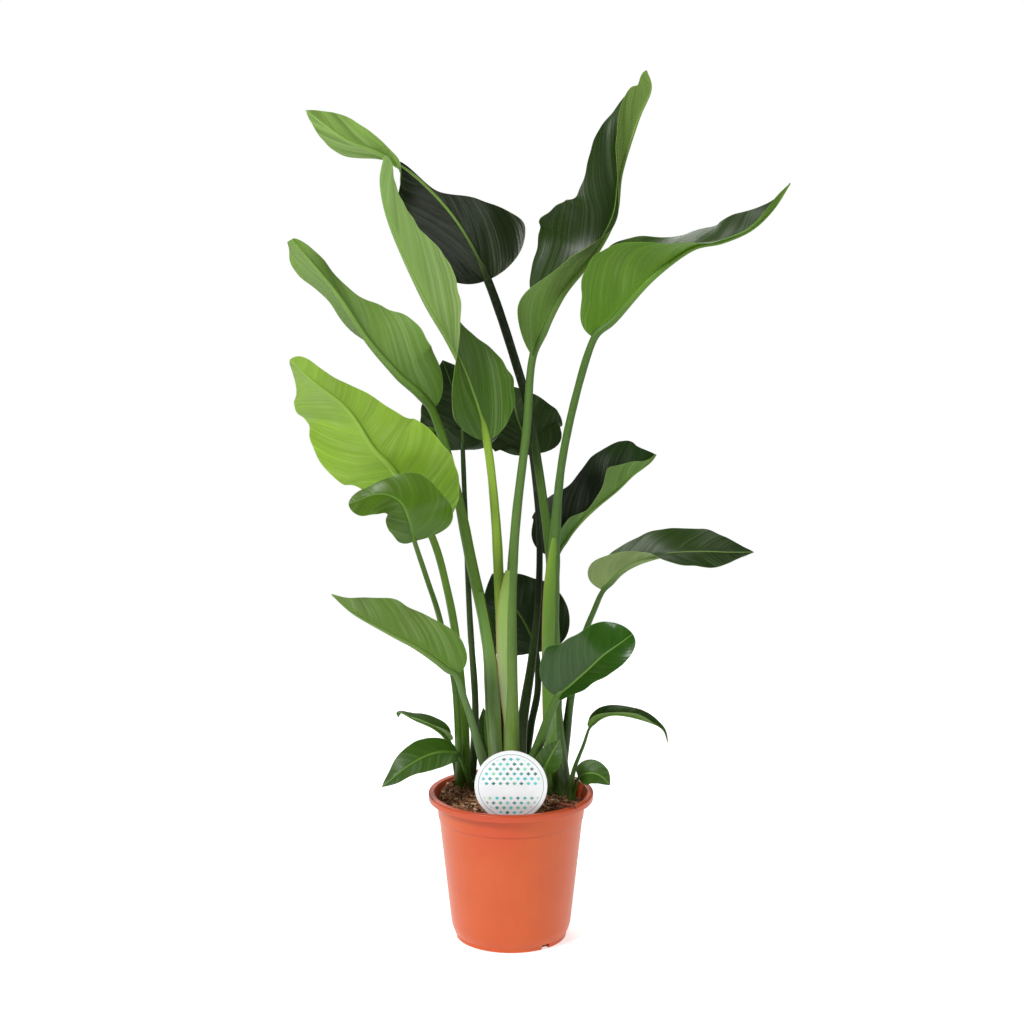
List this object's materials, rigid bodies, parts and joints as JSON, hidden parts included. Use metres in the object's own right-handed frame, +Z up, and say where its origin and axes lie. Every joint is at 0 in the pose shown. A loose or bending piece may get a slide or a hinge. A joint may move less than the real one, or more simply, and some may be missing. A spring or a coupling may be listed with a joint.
{
  "type": "potted bird of paradise plant",
  "caption": "Bird of paradise house plant: paddle leaves on long stalks that rise in bunches from soil in a round plastic nursery pot, with a round plant label.",
  "frame": {"origin": "middle of the pot's underside, on the surface that it stands on", "axes": "+Z up, -Y the front, where the plant label is, +X to the right seen from the front"},
  "size_m": [0.5953, 0.3065, 1.0893],
  "materials": {
    "pot_plastic": "orange moulded plastic, satin",
    "compost": "moist brown fibrous compost, rough",
    "bark": "reddish brown root fibre, rough",
    "label_board": "white coated board with a plain printed pattern",
    "stalk": "smooth waxy green leaf stalk",
    "leaf": "waxy green leaf, darker above than below, fine parallel veins"
  },
  "bodies": {
    "root": {"pot": "pot_plastic", "soil": "compost", "root_fibre": "bark", "plant_label": "label_board", "stalks_left": "stalk", "stalks_centre": "stalk", "stalks_back": "stalk", "stalks_right": "stalk", "stalks_far_right": "stalk", "leaf_01": "leaf", "leaf_02": "leaf", "leaf_03": "leaf", "leaf_04": "leaf", "leaf_05": "leaf", "leaf_06": "leaf", "leaf_07": "leaf", "leaf_08": "leaf", "leaf_09": "leaf", "leaf_10": "leaf", "leaf_11": "leaf", "leaf_12": "leaf", "leaf_13": "leaf", "leaf_14": "leaf", "leaf_15": "leaf", "leaf_16": "leaf", "leaf_17": "leaf", "leaf_18": "leaf", "leaf_19": "leaf", "leaf_20": "leaf"}
  },
  "joints": []
}
